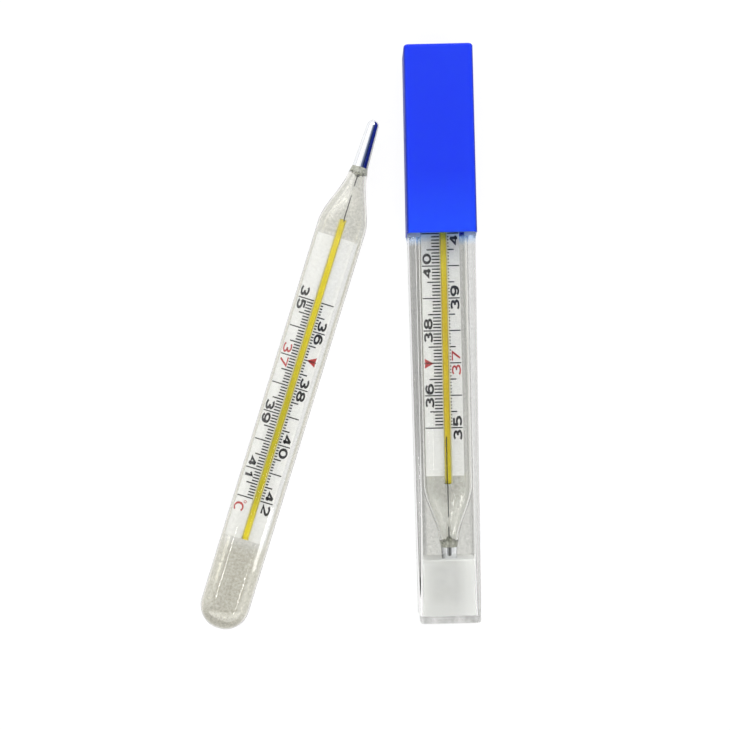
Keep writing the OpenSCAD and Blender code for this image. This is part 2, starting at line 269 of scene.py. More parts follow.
# Plain materials: their grain, colours and roughness; the thread's dark colour is a painted reflection of the
# dark of its bore, which it mostly mirrors
THREAD = ((1400, 2), ((0.03, 0.03, 0.034), (0.12, 0.12, 0.13)), (0.15, 0.3))
# The pale strips' colour is a painted highlight of the rod's edges
PALE_HIGHLIGHT = (FLECKS, ((0.90, 0.87, 0.50), (0.95, 0.93, 0.64)), ENAMEL_ROUGH)
PLATE = ((1200, 4), ((0.84, 0.845, 0.835), (0.90, 0.905, 0.895)), (0.4, 0.55))
BLACK_INK = (INK_WEAR, ((0.008, 0.008, 0.01), (0.02, 0.02, 0.022)), INK_ROUGH)
RED_INK = (INK_WEAR, ((0.44, 0.022, 0.022), (0.54, 0.042, 0.038)), INK_ROUGH)

# What the shaders of glass, metal and plastics are set to
GLASS = {"Transmission Weight": 1, "IOR": 1.47}
SEAL_GLASS = {"Transmission Weight": 0.75, "IOR": 1.47}
CASE_PLASTIC = {"Transmission Weight": 1, "IOR": 1.5}
METAL = {"Metallic": 1}
CAP_PLASTIC = {
    "Specular IOR Level": 0.15,
    "Subsurface Weight": 0.8,
    "Subsurface Radius": (0.4, 0.6, 1),
    "Subsurface Scale": 1.6 * MM,
}
CUSHION_PLASTIC = {
    "IOR": 1.42,
    "Specular IOR Level": 0.2,
    "Subsurface Weight": 1,
    "Subsurface Radius": (1, 1, 0.95),
    "Subsurface Scale": 3 * MM,
}
# How much the cap's cloud adds to the fade at its mouth
CAP_CLOUD_SHARE = 0.25

# Ripples round the seal: their height, how many of the two kinds, the share of each and their offset
SEAL_RIPPLE = 0.1 * MM
SEAL_WAVES = 5
SEAL_TEETH = 11
WAVE_SHARE = 0.6
TOOTH_SHARE = 0.4
TOOTH_OFFSET = 1

# The dome's light beside the object, above it, straight overhead and at the two ends
SIDE_LIGHT = 1.0
HORIZON_LIGHT = 0.9
ROOF_LIGHT = 0.3
OVERHEAD_LIGHT = 0.05
END_LIGHT = 3.25
# Where its parts begin and end, on a unit sphere
HORIZON_Z = (0.05, 0.3)
ROOF_Z = (0.68, 0.85)
ROOF_Y = (0.18, 0.12)
OVERHEAD_X = 0.065
OVERHEAD_REACH = (0.28, 0.18)
END_Y = (0.34, 0.55)
END_Z = (0.4, 0.56)
# A dark blue flag to the right of the bulbs, whose mercury mirrors it; it is paler at its left edge
FLAG_COLOUR = (0.013, 0.026, 0.085)
FLAG_EDGE = (0.20, 0.24, 0.38)
FLAG_X = (0.02, 0.2)
FLAG_DEEP_X = (0.3, 0.68)
FLAG_NEAR_Y = (-0.1, -0.02)
FLAG_FAR_Y = (0.36, 0.3)
FLAG_Z = (0.1, 0.2)

# The floor: its half width in metres, its gap below the part, and a faint light that keeps shadows pale
FLOOR_SIZE = 3
FLOOR_GAP = 0.05 * MM
FLOOR = {
    "Emission Color": (1, 1, 1, 1),
    "Emission Strength": 0.88,
    "Roughness": 0.9,
    "Specular IOR Level": 0.1,
}

# The lamps: the ends of each in metres, its width and its radiance
LEFT_STRIP = ((-0.179, -0.085, 0.25), (-0.168, -0.05, 0.25))
RIGHT_STRIP = ((0.10, -0.42, 0.6), (0.152, -0.26, 0.6))
LEFT_STRIP_W = 0.005
RIGHT_STRIP_W = 0.012
STRIP_RADIANCE = 20
RIGHT_BOX = ((0.545, -0.342, 0.453), (0.515, -0.405, 0.447))
BOX_W = 0.34
BOX_RADIANCE = 5

# The camera: its place, its turn and its lens
CAMERA_PLACE = mm(-18.34, -7.03, 289.7)
CAMERA_TURN = -1.28
CAMERA_LENS = 60
CAMERA_SENSOR = 36

# How often light may bounce
BOUNCES = 40

# Points round a ring, and steps along a curve, round a corner or an edge, and along the thread and the seal
RING_POINTS = 96
CURVE_STEPS = 28
CORNER_STEPS = 14
EDGE_STEPS = 6
ROUND_STEPS = 12
MENISCUS_STEPS = 8
SEAL_STEPS = 10
THREAD_STEPS = 80
# Faces that meet at more than this angle, in degrees, keep a sharp edge; flat ones outweigh round ones
SHARP_ANGLE = 32
FLAT_WEIGHT = 100


def mix(a, b, share):
    return a + (b - a) * share


def smooth_step(share):
    return share * share * (3 - 2 * share)


def shares(steps):
    """Even steps from 0 to 1."""
    return [step / steps for step in range(steps + 1)]


def quarter(steps):
    """Sine and cosine at even steps of a quarter turn."""
    angles = [math.pi / 2 * share for share in shares(steps)]
    return [(math.sin(angle), math.cos(angle)) for angle in angles]


# Places in the frame


def joint_axis(name):
    """Direction of one of the record's joints."""
    joint = next(j for j in frame["joints"] if j["name"] == name)
    return Vector(joint["axis"]).normalized()


def node_span(node, place):
    """Lowest and highest corner of a solid, in the axes of a place."""
    back = place.inverted()
    points = [back @ vertex.co for vertex in frame["nodes"][node].data.vertices]
    low = Vector([min(values) for values in zip(*points)])
    high = Vector([max(values) for values in zip(*points)])
    return low, high


def thermometer_place(prefix):
    """Where a thermometer lies: its axes run across, along from the bulb's tip, and up."""
    along = joint_axis(prefix + "_mercury_rise")
    turn = Matrix((along.cross(UP), along, UP)).transposed().to_4x4()
    low, high = node_span(prefix + "_bulb", turn)
    middle = (low + high) / 2
    return Matrix.Translation(turn @ Vector((middle.x, low.y, middle.z))) @ turn


def case_place():
    """Where the case lies: its axes run across, along from its base, and up from its middle."""
    low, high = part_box("case_cap")
    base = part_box("case_body")[0].y
    return Matrix.Translation(Vector(((low.x + high.x) / 2, base, (low.z + high.z) / 2)))


# Meshes


def oval_ring(along, half_w, half_t, power):
    """A superellipse across the tube."""
    ring = []
    for step in range(RING_POINTS):
        angle = 2 * math.pi * step / RING_POINTS
        c = math.cos(angle)
        s = math.sin(angle)
        across = math.copysign(abs(c) ** (2 / power), c) * half_w
        up = math.copysign(abs(s) ** (2 / power), s) * half_t
        ring.append(Vector((across, along, up)))
    return ring


def round_ring(along, radius):
    return oval_ring(along, radius, radius, 2)


def d_ring(along, radius, back):
    """A circle with a flat back."""
    ring = []
    for point in round_ring(along, radius):
        shrink = min(1, back / max(-point.z, back))
        ring.append(Vector((point.x * shrink, along, point.z * shrink)))
    return ring


def box_ring(along, width, thickness, radius, lower_radius=None):
    """A rounded rectangle across the case; its lower corners may have a radius of their own."""
    ring = []
    for corner in range(4):
        side_x = 1 if corner in (0, 3) else -1
        side_z = 1 if corner < 2 else -1
        r = radius if lower_radius is None or side_z > 0 else lower_radius
        for share in shares(CORNER_STEPS):
            angle = math.pi / 2 * (corner + share)
            across = side_x * (width / 2 - r) + r * math.cos(angle)
            up = side_z * (thickness / 2 - r) + r * math.sin(angle)
            ring.append(Vector((across, along, up)))
    return ring


def inset_ring(ring, inset):
    """A ring drawn in by the same distance all round."""
    points = []
    for step, point in enumerate(ring):
        tangent = ring[(step + 1) % len(ring)] - ring[step - 1]
        inward = Vector((-tangent.z, 0, tangent.x)).normalized()
        points.append(point + inward * inset)
    return points


def ring_like(ring, along, radius):
    """A circle with one point in the direction of each point of a ring."""
    points = []
    for point in ring:
        angle = math.atan2(point.z, point.x)
        points.append(Vector((radius * math.cos(angle), along, radius * math.sin(angle))))
    return points


def pole(along):
    return [Vector((0, along, 0))]


def moved(rings, across):
    """Rings moved to one side."""
    return [[point + Vector((across, 0, 0)) for point in ring] for ring in rings]


def join_rings(bm, a, b):
    """Faces between two rings; a ring of one vertex is a pole."""
    count = max(len(a), len(b))
    for step in range(count):
        following = (step + 1) % count
        corners = [a[step % len(a)], a[following % len(a)], b[following % len(b)], b[step % len(b)]]
        face = list(dict.fromkeys(corners))
        bm.faces.new(face)


def skin(rings, closed=False):
    """A mesh through a list of rings, which closes on itself or ends at poles."""
    bm = bmesh.new()
    rows = [[bm.verts.new(point) for point in ring] for ring in rings]
    for a, b in zip(rows, rows[1:]):
        join_rings(bm, a, b)
    if closed:
        join_rings(bm, rows[-1], rows[0])
    bmesh.ops.recalc_face_normals(bm, faces=bm.faces)
    return bm


def add_piece(name, bm, place, material):
    """A smooth piece from a mesh in the axes of a place."""
    mesh = bpy.data.meshes.new(name)
    bm.to_mesh(mesh)
    bm.free()
    mesh.shade_smooth()
    mesh.set_sharp_from_angle(angle=math.radians(SHARP_ANGLE))
    mesh.materials.append(material)
    piece = bpy.data.objects.new(name, mesh)
    piece.matrix_world = place
    bpy.context.scene.collection.objects.link(piece)
    return piece


def keep_flats(piece):
    """Flat faces stay flat beside rounded corners."""
    weighting = piece.modifiers.new("flats", "WEIGHTED_NORMAL")
    weighting.keep_sharp = True
    weighting.weight = FLAT_WEIGHT


def lathe(profile):
    """Rings and poles of a turned shape from its (along, radius) points."""
    return [round_ring(along, radius) if radius > 0 else pole(along) for along, radius in profile]


# Materials


def fill(node, settings):
    """Sets some of a node's sockets."""
    for socket, value in dict(settings).items():
        node.inputs[socket].default_value = value


def start_material(name, settings=()):
    material = bpy.data.materials.new(name)
    material.use_nodes = True
    shader = material.node_tree.nodes["Principled BSDF"]
    fill(shader, settings)
    return material, shader


def add_node(owner, kind, settings=()):
    """A node of a material or of the world."""
    node = owner.node_tree.nodes.new(kind)
    fill(node, settings)
    return node


def link(owner, source, target):
    owner.node_tree.links.new(source, target)


def add_math(owner, operation, *values):
    """An operation on values that are numbers or come from a node."""
    node = add_node(owner, "ShaderNodeMath")
    node.operation = operation
    for socket, value in zip(node.inputs, values):
        if isinstance(value, bpy.types.NodeSocket):
            link(owner, value, socket)
        else:
            socket.default_value = value
    return node.outputs["Value"]


def map_range(owner, value, start, end, low=0, high=1, kind="LINEAR"):
    """A value that runs from low to high while another runs from start to end."""
    numbers = {"From Min": start, "From Max": end, "To Min": low, "To Max": high}
    node = add_node(owner, "ShaderNodeMapRange", numbers)
    node.interpolation_type = kind
    link(owner, value, node.inputs["Value"])
    return node.outputs["Result"]


def grain(material, scale, detail, stretch=(1, 1, 1)):
    """Noise in the piece's own space; the scale is in grains per metre."""
    place = add_node(material, "ShaderNodeTexCoord")
    mapping = add_node(material, "ShaderNodeMapping", {"Scale": stretch})
    noise = add_node(material, "ShaderNodeTexNoise", {"Scale": scale, "Detail": detail})
    link(material, place.outputs["Object"], mapping.inputs["Vector"])
    link(material, mapping.outputs["Vector"], noise.inputs["Vector"])
    return noise.outputs["Fac"]


def spread_of(material, source, low=0, high=1):
    """Noise gathers near its middle, so its core is spread over a range of values."""
    return map_range(material, source, *NOISE_CORE, low, high)


def reach_of(material, axis, start, end):
    """A share that runs from 0 to 1 between two places along one axis of the piece."""
    place = add_node(material, "ShaderNodeTexCoord")
    split = add_node(material, "ShaderNodeSeparateXYZ")
    link(material, place.outputs["Object"], split.inputs["Vector"])
    return map_range(material, split.outputs[axis], start, end)


def span_of(material, start, full, full_end, end):
    """A share that rises to 1 along the piece and falls to 0 again."""
    rise = reach_of(material, "Y", start, full)
    fall = reach_of(material, "Y", end, full_end)
    return add_math(material, "MULTIPLY", rise, fall)


def sides_of(material, start, end):
    """A share that runs from 0 to 1 between two distances to either side of the piece's middle."""
    right = reach_of(material, "X", start, end)
    left = reach_of(material, "X", -start, -end)
    return add_math(material, "MAXIMUM", right, left)


def mix_colours(owner, share, first, second):
    """A colour between two others, which are plain colours or come from a node."""
    blend = add_node(owner, "ShaderNodeMix")
    blend.data_type = "RGBA"
    for socket, colour in (("A", first), ("B", second)):
        if isinstance(colour, tuple):
            blend.inputs[socket].default_value = (*colour, 1)
        else:
            link(owner, colour, blend.inputs[socket])
    link(owner, share, blend.inputs["Factor"])
    return blend.outputs["Result"]


def change_colour(material, axis, places, first, second):
    """A colour that turns into another between two places along an axis."""
    return mix_colours(material, reach_of(material, axis, *places), first, second)


def paint(material, shader, colour):
    link(material, colour, shader.inputs["Base Color"])


def vary_colour(material, shader, source, dark, light):
    """The base colour drifts between two colours."""
    paint(material, shader, mix_colours(material, spread_of(material, source), dark, light))


def vary_roughness(material, shader, source, low, high):
    link(material, spread_of(material, source, low, high), shader.inputs["Roughness"])


def add_bump(material, shader, source, strength, depth):
    bump = add_node(material, "ShaderNodeBump", {"Strength": strength, "Distance": depth})
    link(material, source, bump.inputs["Height"])
    link(material, bump.outputs["Normal"], shader.inputs["Normal"])


def plain_material(name, grains, colours, rough, settings=()):
    """A material whose colour and roughness drift with one grain."""
    material, shader = start_material(name, settings)
    source = grain(material, *grains)
    vary_colour(material, shader, source, *colours)
    vary_roughness(material, shader, source, *rough)
    return material


def clear_material(name, colours, rough, bump):
    """Clear glass: a fine mottle and faint streaks along its length."""
    material, shader = start_material(name, GLASS)
    drawn = grain(material, *STREAKS)
    vary_colour(material, shader, grain(material, *FINE_MOTTLE), *colours)
    vary_roughness(material, shader, drawn, *rough)
    add_bump(material, shader, drawn, *bump)
    return material


def tube_material(name, colours):
    """The tube's glass: clear over the plate, and greyed with painted shade at its neck, beside the plate,
    past it and most at its tip, where its mottle shows.
    """
    material, shader = start_material(name, GLASS)
    drawn = grain(material, *STREAKS)
    mottle = spread_of(material, grain(material, *MOTTLE))
    neck, window, end, tip = [mix_colours(material, mottle, *pair) for pair in colours]
    over_plate = mix_colours(material, sides_of(material, *PLATE_SIDE), window, end)
    colour = change_colour(material, "Y", PLATE_START, neck, over_plate)
    colour = change_colour(material, "Y", PLATE_END, colour, end)
    paint(material, shader, change_colour(material, "Y", TIP_START, colour, tip))
    vary_roughness(material, shader, drawn, *TUBE_ROUGH)
    add_bump(material, shader, drawn, *TUBE_BUMP)
    return material


def case_material(mouth):
    """Clear plastic with painted shade: its back is grey, most so at walls and base, and its rim carries a
    painted blue reflection of the cap.
    """
    material, shader = start_material("clear_plastic", CASE_PLASTIC)
    mottle = spread_of(material, grain(material, *MOTTLE))
    breaks = spread_of(material, grain(material, *SLAB_BREAKS))
    # Painted shade greys the back, gap, walls and slab; the rim carries a painted reflection of the cap
    pairs = (CASE_FRONT, CASE_BACK_SHADE, GAP_SHADE, UPPER_WALL_SHADE, LOWER_WALL_SHADE, RIGHT_WALL_SHADE, RIM_CAP_REFLECTION)
    front, back, gap, upper, lower, right, cap_reflection = [mix_colours(material, mottle, *pair) for pair in pairs]
    slab = mix_colours(material, breaks, *SLAB_SHADE)
    left = change_colour(material, "Y", WALL_RISE, lower, upper)
    back = change_colour(material, "X", LEFT_GAP, back, gap)
    back = change_colour(material, "X", LEFT_WALL, back, left)
    back = change_colour(material, "X", RIGHT_WALL, back, right)
    back = change_colour(material, "Y", SLAB, back, slab)
    height = reach_of(material, "Z", *GREY_TOP)
    colour = mix_colours(material, height, back, front)
    # Painted reflection: the cap's blue on the rim at its mouth
    blue = span_of(material, *[mouth + place for place in RIM_BLUE])
    paint(material, shader, mix_colours(material, blue, colour, cap_reflection))
    frost = span_of(material, *[mouth + place for place in RIM_FROST])
    frost = add_math(material, "MULTIPLY", frost, sides_of(material, *FROST_SIDE))
    frost_rough = spread_of(material, frost, *FROST_ROUGH)
    rough = add_math(material, "MAXIMUM", frost_rough, spread_of(material, height, *CASE_ROUGH))
    link(material, rough, shader.inputs["Roughness"])
    add_bump(material, shader, grain(material, *STREAKS), *CASE_BUMP)
    return material


def seal_material():
    """Fused glass: olive grey, uneven and full of small bubbles."""
    material, shader = start_material("fused_glass", SEAL_GLASS)
    blobs = grain(material, *SEAL_BLOBS)
    vary_colour(material, shader, blobs, *SEAL_COLOURS)
    vary_roughness(material, shader, blobs, *SEAL_ROUGH)
    add_bump(material, shader, blobs, *SEAL_BUMP)
    return material


def mercury_material():
    """Bright mercury, with painted shade on the flank that faces away from the light."""
    material, shader = start_material("mercury", METAL)
    swirl = grain(material, *SWIRL)
    bright = mix_colours(material, swirl, *MERCURY_COLOURS)
    paint(material, shader, change_colour(material, "X", FLANK, bright, FLANK_SHADE))
    vary_roughness(material, shader, swirl, *MERCURY_ROUGH)
    return material


def stripe_material(name, places, shade):
    """Yellow enamel, with painted shade that darkens it along its middle."""
    material, shader = start_material(name)
    flecks = grain(material, *FLECKS)
    share = spread_of(material, flecks)
    # Painted shade: the stripe's own colours, darkened along its middle
    shaded = [tuple(value * part for value, part in zip(colour, shade)) for colour in YELLOW]
    bright = mix_colours(material, share, *YELLOW)
    deep = mix_colours(material, share, *shaded)
    paint(material, shader, mix_colours(material, span_of(material, *places), bright, deep))
    vary_roughness(material, shader, flecks, *ENAMEL_ROUGH)
    return material


def cap_material(mouth):
    """Moulded blue plastic, a little paler at its mouth, with painted shade on its sides and a fine satin
    grain.
    """
    material, shader = start_material("blue_plastic", CAP_PLASTIC)
    fade = reach_of(material, "Y", mouth + CAP_FADE, mouth)
    cloud = add_math(material, "MULTIPLY_ADD", grain(material, *CAP_CLOUD), CAP_CLOUD_SHARE, fade)
    face = mix_colours(material, cloud, *CAP_COLOURS)
    paint(material, shader, mix_colours(material, sides_of(material, *CAP_SIDE), face, CAP_SIDE_SHADE))
    vary_roughness(material, shader, grain(material, *CAP_SHEEN), *CAP_ROUGH)
    add_bump(material, shader, grain(material, *CAP_SATIN), *CAP_BUMP)
    return material


def cushion_material(top):
    """Soft milky plastic in which light spreads, with painted shade of the bulb in its core, painted light
    towards its foot and sides, and painted shade along its top edge.
    """
    material, shader = start_material("milky_cushion", CUSHION_PLASTIC)
    cloud = grain(material, *CUSHION_CLOUD)
    colour = mix_colours(material, spread_of(material, cloud), *CUSHION_SHADED_CORE)
    for axis, places, lit_colour in CUSHION_PAINTED_LIGHT:
        colour = change_colour(material, axis, places, colour, lit_colour)
    shaded_edge = change_colour(material, "X", CUSHION_RIGHT, *CUSHION_TOP_SHADE)
    places = [top + place for place in CUSHION_TOP]
    paint(material, shader, change_colour(material, "Y", places, colour, shaded_edge))
    vary_roughness(material, shader, cloud, *CUSHION_ROUGH)
    add_bump(material, shader, grain(material, *CUSHION_SATIN), *CUSHION_BUMP)
    return material


def make_materials(cap_mouth, cushion_top):
    return {
        "loose_glass": tube_material("loose_tube_glass", LOOSE_COLOURS),
        "cased_glass": tube_material("cased_tube_glass", CASED_COLOURS),
        "bulb_glass": clear_material("bulb_glass", *BULB),
        "stem_glass": clear_material("stem_glass", *STEM),
        "clear_plastic": case_material(cap_mouth),
        "seal_glass": seal_material(),
        "mercury": mercury_material(),
        "thread": plain_material("mercury_column", *THREAD, METAL),
        "loose_enamel": stripe_material("loose_yellow_enamel", LOOSE_STRIPE, LOOSE_PAINTED_SHADE),
        "cased_enamel": stripe_material("cased_yellow_enamel", CASED_STRIPE, CASED_PAINTED_SHADE),
        "pale_edge_highlight": plain_material("pale_edge_highlight", *PALE_HIGHLIGHT),
        "plate": plain_material("white_plate", *PLATE),
        "ink": plain_material("black_ink", *BLACK_INK),
        "red_ink": plain_material("red_ink", *RED_INK),
        "blue_plastic": cap_material(cap_mouth),
        "cushion": cushion_material(cushion_top),
    }


# The thermometers


def tube_rings(neck, half_w, half_t, length, neck_inset, inset):
    """Rings of the envelope from its neck to its round end, drawn in by insets."""
    rings = []
    for share in shares(CURVE_STEPS):
        swell = mix(share, smooth_step(share), SHOULDER_EASE)
        wide = mix(NECK_R, half_w, swell)
        thick = mix(NECK_R, half_t, swell)
        ring = oval_ring(neck + SHOULDER_LEN * share, wide, thick, mix(2, TUBE_POWER, share))
        rings.append(inset_ring(ring, mix(neck_inset, inset, share)))
    straight = inset_ring(oval_ring(0, half_w, half_t, TUBE_POWER), inset)
    round_start = length - half_w
    for sine, cosine in quarter(CURVE_STEPS)[:-1]:
        along = round_start + (half_w - inset) * sine
        rings.append([Vector((point.x * cosine, along, point.z * cosine)) for point in straight])
    rings.append(pole(round_start + half_w - inset))
    return rings


def make_envelope(prefix, place, looks):
    low, high = node_span(prefix + "_envelope", place)
    half_w = (high.x - low.x) / 2
    half_t = (high.z - low.z) / 2
    outside = tube_rings(low.y, half_w, half_t, high.y, 0, 0)
    inside = tube_rings(low.y, half_w, half_t, high.y, NECK_GLASS, TUBE_WALL)
    bm = skin(outside[::-1] + inside)
    piece = add_piece(prefix + "_tube", bm, place, looks[prefix + "_glass"])
    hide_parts(prefix + "_envelope")
    return piece


def bulb_profile(root, inset):
    """Half of the bulb's outline from its tip to its root."""
    tip_r = BULB_TIP_R - inset
    profile = [(inset, 0)]
    for sine, cosine in quarter(CURVE_STEPS)[1:]:
        profile.append((BULB_TIP_R - tip_r * cosine, tip_r * sine))
    for share in shares(CURVE_STEPS)[1:]:
        profile.append((mix(BULB_TIP_R, root, share), mix(tip_r, BULB_ROOT_R - inset, share)))
    return profile


def make_bulb(prefix, place, looks):
    root = node_span(prefix + "_bulb", place)[1].y
    glass = lathe(bulb_profile(root, 0)) + lathe(bulb_profile(root, BULB_WALL))[::-1]
    piece = add_piece(prefix + "_bulb_glass", skin(glass), place, looks["bulb_glass"])
    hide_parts(prefix + "_bulb")
    return piece


def make_bulb_mercury(prefix, place, looks):
    """The mercury in the bulb."""
    root = node_span(prefix + "_bulb", place)[1].y
    profile = bulb_profile(root, BULB_WALL - BULB_CONTACT)
    profile.append((root, 0))
    piece = add_piece(prefix + "_bulb_fill", skin(lathe(profile)), place, looks["mercury"])
    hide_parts(prefix + "_bulb_mercury")
    return piece


def rounded_column(low, high, radius):
    """Profile of a column of mercury with a rounded top."""
    profile = [(low, 0), (low, radius)]
    for sine, cosine in quarter(MENISCUS_STEPS)[:-1]:
        profile.append((high - radius + radius * sine, radius * cosine))
    profile.append((high, 0))
    return profile


def make_column(prefix, place, looks):
    """The mercury from the bulb up to the pinch."""
    root = node_span(prefix + "_bulb", place)[1].y
    top = node_span(prefix + "_bulb_mercury", place)[1].y
    profile = rounded_column(root, top, BORE_R + THREAD_CONTACT)
    piece = add_piece(prefix + "_column", skin(lathe(profile)), place, looks["thread"])
    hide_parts(prefix + "_bulb_mercury")
    return piece


def ripple(ring, height):
    """Lifts a ring's points in uneven waves, as glass sets after the flame."""
    points = []
    for point in ring:
        angle = math.atan2(point.z, point.x)
        wave = WAVE_SHARE * math.sin(SEAL_WAVES * angle)
        wave += TOOTH_SHARE * math.sin(SEAL_TEETH * angle + TOOTH_OFFSET)
        points.append(point + Vector((0, height * wave, 0)))
    return points


def make_seal(prefix, place, looks):
    """The fused ring, and the cone on it that draws in to the neck tube."""
    low, high = node_span(prefix + "_neck_seal", place)
    neck = high.y - FOOT_LEN
    rings = []
    for share in shares(SEAL_STEPS):
        ring = round_ring(mix(low.y, neck, share), mix(BULB_ROOT_R, NECK_R, share))
        rings.append(ripple(ring, SEAL_RIPPLE * share * share))
    for share in shares(SEAL_STEPS):
        radius = mix(FOOT_R, WAIST_R, 1 - (1 - share) ** 2)
        rings.append(ripple(round_ring(mix(neck, high.y, share), radius), SEAL_RIPPLE * (1 - share)))
    rings += [round_ring(high.y, BORE_R), round_ring(low.y, BORE_R)]
    piece = add_piece(prefix + "_collar", skin(rings, closed=True), place, looks["seal_glass"])
    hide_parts(prefix + "_neck_seal")
    return piece


def make_neck_tube(prefix, place, looks):
    """The drawn capillary: even from the seal's cone up, then flared out to the stem."""
    low, high = node_span(prefix + "_neck_tube", place)
    flare = high.y - FLARE_LEN
    outside = [(low.y, WAIST_R)]
    for share in shares(CURVE_STEPS):
        outside.append((mix(flare, high.y, share), mix(WAIST_R, FLARE_R, share * share)))
    pinch = low.y - FOOT_LEN + PINCH_RISE
    inside = [
        (high.y, BORE_R),
        (pinch + PINCH_REACH, BORE_R),
        (pinch + PINCH_REACH - PINCH_EDGE, PINCH_R),
        (pinch - PINCH_REACH + PINCH_EDGE, PINCH_R),
        (pinch - PINCH_REACH, BORE_R),
        (low.y, BORE_R),
    ]
    bm = skin(lathe(outside + inside), closed=True)
    piece = add_piece(prefix + "_capillary", bm, place, looks["stem_glass"])
    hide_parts(prefix + "_neck_tube")
    return piece


def make_stem(prefix, place, looks):
    """The rod with a round front; stripe and thread are fused into it, and its bore is too fine to see."""
    low, high = node_span(prefix + "_stem", place)
    radius = (high.x - low.x) / 2
    rings = [pole(high.y)]
    for sine, cosine in quarter(EDGE_STEPS)[1:]:
        drawn = STEM_EDGE * (1 - sine)
        along = high.y - STEM_EDGE * (1 - cosine)
        rings.append(d_ring(along, radius - drawn, STEM_BACK - drawn))
    rings += [d_ring(low.y, radius, STEM_BACK), pole(low.y)]
    rings = moved(rings, (low.x + high.x) / 2)
    piece = add_piece(prefix + "_rod", skin(rings), place, looks["stem_glass"])
    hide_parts(prefix + "_stem")
    return piece


def make_pale_enamel(prefix, place, looks):
    """A pale layer to each side of the yellow stripe, just inside the stem's flat back: a painted highlight
    of the rod's edges.
    """
    stem_low, stem_high = node_span(prefix + "_stem", place)
    stripe_low, stripe_high = node_span(prefix + "_backing", place)
    centre = (stem_low.x + stem_high.x) / 2
    level = PALE_GAP + PALE_T / 2 - STEM_BACK
    spans = (
        (centre - PALE_REACH, stripe_low.x - PALE_GAP),
        (stripe_high.x + PALE_GAP, centre + PALE_REACH),
    )
    bm = bmesh.new()
    for left, right in spans:
        middle = Vector(((left + right) / 2, (stripe_low.y + stripe_high.y) / 2, level))
        size = Vector((right - left, stem_high.y - stem_low.y - 2 * STEM_EDGE, PALE_T, 1))
        bmesh.ops.create_cube(bm, size=1, matrix=Matrix.Translation(middle) @ Matrix.Diagonal(size))
    piece = add_piece(prefix + "_pale_edge_highlight", bm, place, looks["pale_edge_highlight"])
    return piece


def make_thread(prefix, place, looks):
    """The thread of mercury, which stretches between the pinch and the moving head."""
    low, high = node_span(prefix + "_mercury_thread", place)
    radius = BORE_R + THREAD_CONTACT
    profile = [(low.y, 0)]
    profile += [(mix(low.y, high.y, share), radius) for share in shares(THREAD_STEPS)]
    profile.append((high.y, 0))
    piece = add_piece(prefix + "_thread", skin(lathe(profile)), place, looks["thread"])
    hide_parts(prefix + "_mercury_thread")
    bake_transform(piece)


def make_head(prefix, place, looks):
    """The top of the thread, with its rounded meniscus."""
    low, high = node_span(prefix + "_mercury_head", place)
    profile = rounded_column(low.y, high.y, BORE_R + THREAD_CONTACT)
    piece = add_piece(prefix + "_meniscus", skin(lathe(profile)), place, looks["thread"])
    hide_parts(prefix + "_mercury_head")
    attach(piece, prefix + "_mercury")


def arc(x, y, reach_x, reach_y, start, end):
    """Points of an oval arc between two angles in degrees."""
    steps = max(2, round(abs(end - start) / ARC_STEP))
    angles = [math.radians(mix(start, end, share)) for share in shares(steps)]
    return [(x + reach_x * math.cos(angle), y + reach_y * math.sin(angle)) for angle in angles]


# The middle lines of the strokes of each sign, on a unit square
SIGNS = {
    "0": [arc(0.5, 0.5, 0.5, 0.5, 0, 360)],
    "1": [[(0.12, 0.72), (0.5, 1), (0.5, 0)]],
    "2": [arc(0.5, 0.71, 0.5, 0.29, 170, -40) + [(0, 0), (1, 0)]],
    "3": [arc(0.48, 0.75, 0.45, 0.25, 155, -90), arc(0.48, 0.25, 0.52, 0.25, 90, -155)],
    "4": [[(0.72, 0), (0.72, 1)], [(0.72, 1), (0, 0.27), (1, 0.27)]],
    "5": [[(0.92, 1), (0.14, 1), (0.07, 0.47)], arc(0.48, 0.31, 0.52, 0.31, 148, -152)],
    "6": [arc(0.5, 0.31, 0.5, 0.31, 0, 360), [(0, 0.31)] + arc(0.52, 0.5, 0.52, 0.5, 180, 38)],
    "7": [[(0, 1), (1, 1), (0.28, 0)]],
    "8": [arc(0.5, 0.76, 0.43, 0.24, 0, 360), arc(0.5, 0.26, 0.5, 0.26, 0, 360)],
    "9": [arc(0.5, 0.69, 0.5, 0.31, 0, 360), [(1, 0.69)] + arc(0.48, 0.5, 0.52, 0.5, 0, -142)],
    "C": [arc(0.5, 0.5, 0.5, 0.5, 45, 315)],
}


def stroke_sides(path, closed):
    """For each point of a path, the mitred direction to its left."""
    sides = []
    last = len(path) - 1
    for index, point in enumerate(path):
        before = path[index - 1] if index or closed else point
        after = path[(index + 1) % len(path)] if index < last or closed else point
        into = (point - before).normalized()
        out = (after - point).normalized()
        along = (into + out).normalized()
        turn = (out if index == 0 and not closed else into).dot(along)
        sides.append(Vector((-along.y, along.x)) * min(1 / max(turn, LEAST_TURN), LINE_MITRE))
    return sides


def add_stroke(bm, path, line, front):
    """A flat line of ink along a path on the plate, thinner where it runs along the tube."""
    closed = (path[0] - path[-1]).length < line * CLOSED_GAP
    if closed:
        path = path[:-1]
    rows = []
    for point, side in zip(path, stroke_sides(path, closed)):
        reach = Vector((side.x * PEN_FLAT, side.y)) * line / 2
        left = point + reach
        right = point - reach
        corners = [(left, front), (right, front), (right, front + PRINT_T), (left, front + PRINT_T)]
        rows.append([bm.verts.new((spot.x, spot.y, level)) for spot, level in corners])
    for a, b in zip(rows, rows[1:]):
        join_rings(bm, a, b)
    if closed:
        join_rings(bm, rows[-1], rows[0])
    else:
        bm.faces.new(rows[0])
        bm.faces.new(rows[-1])


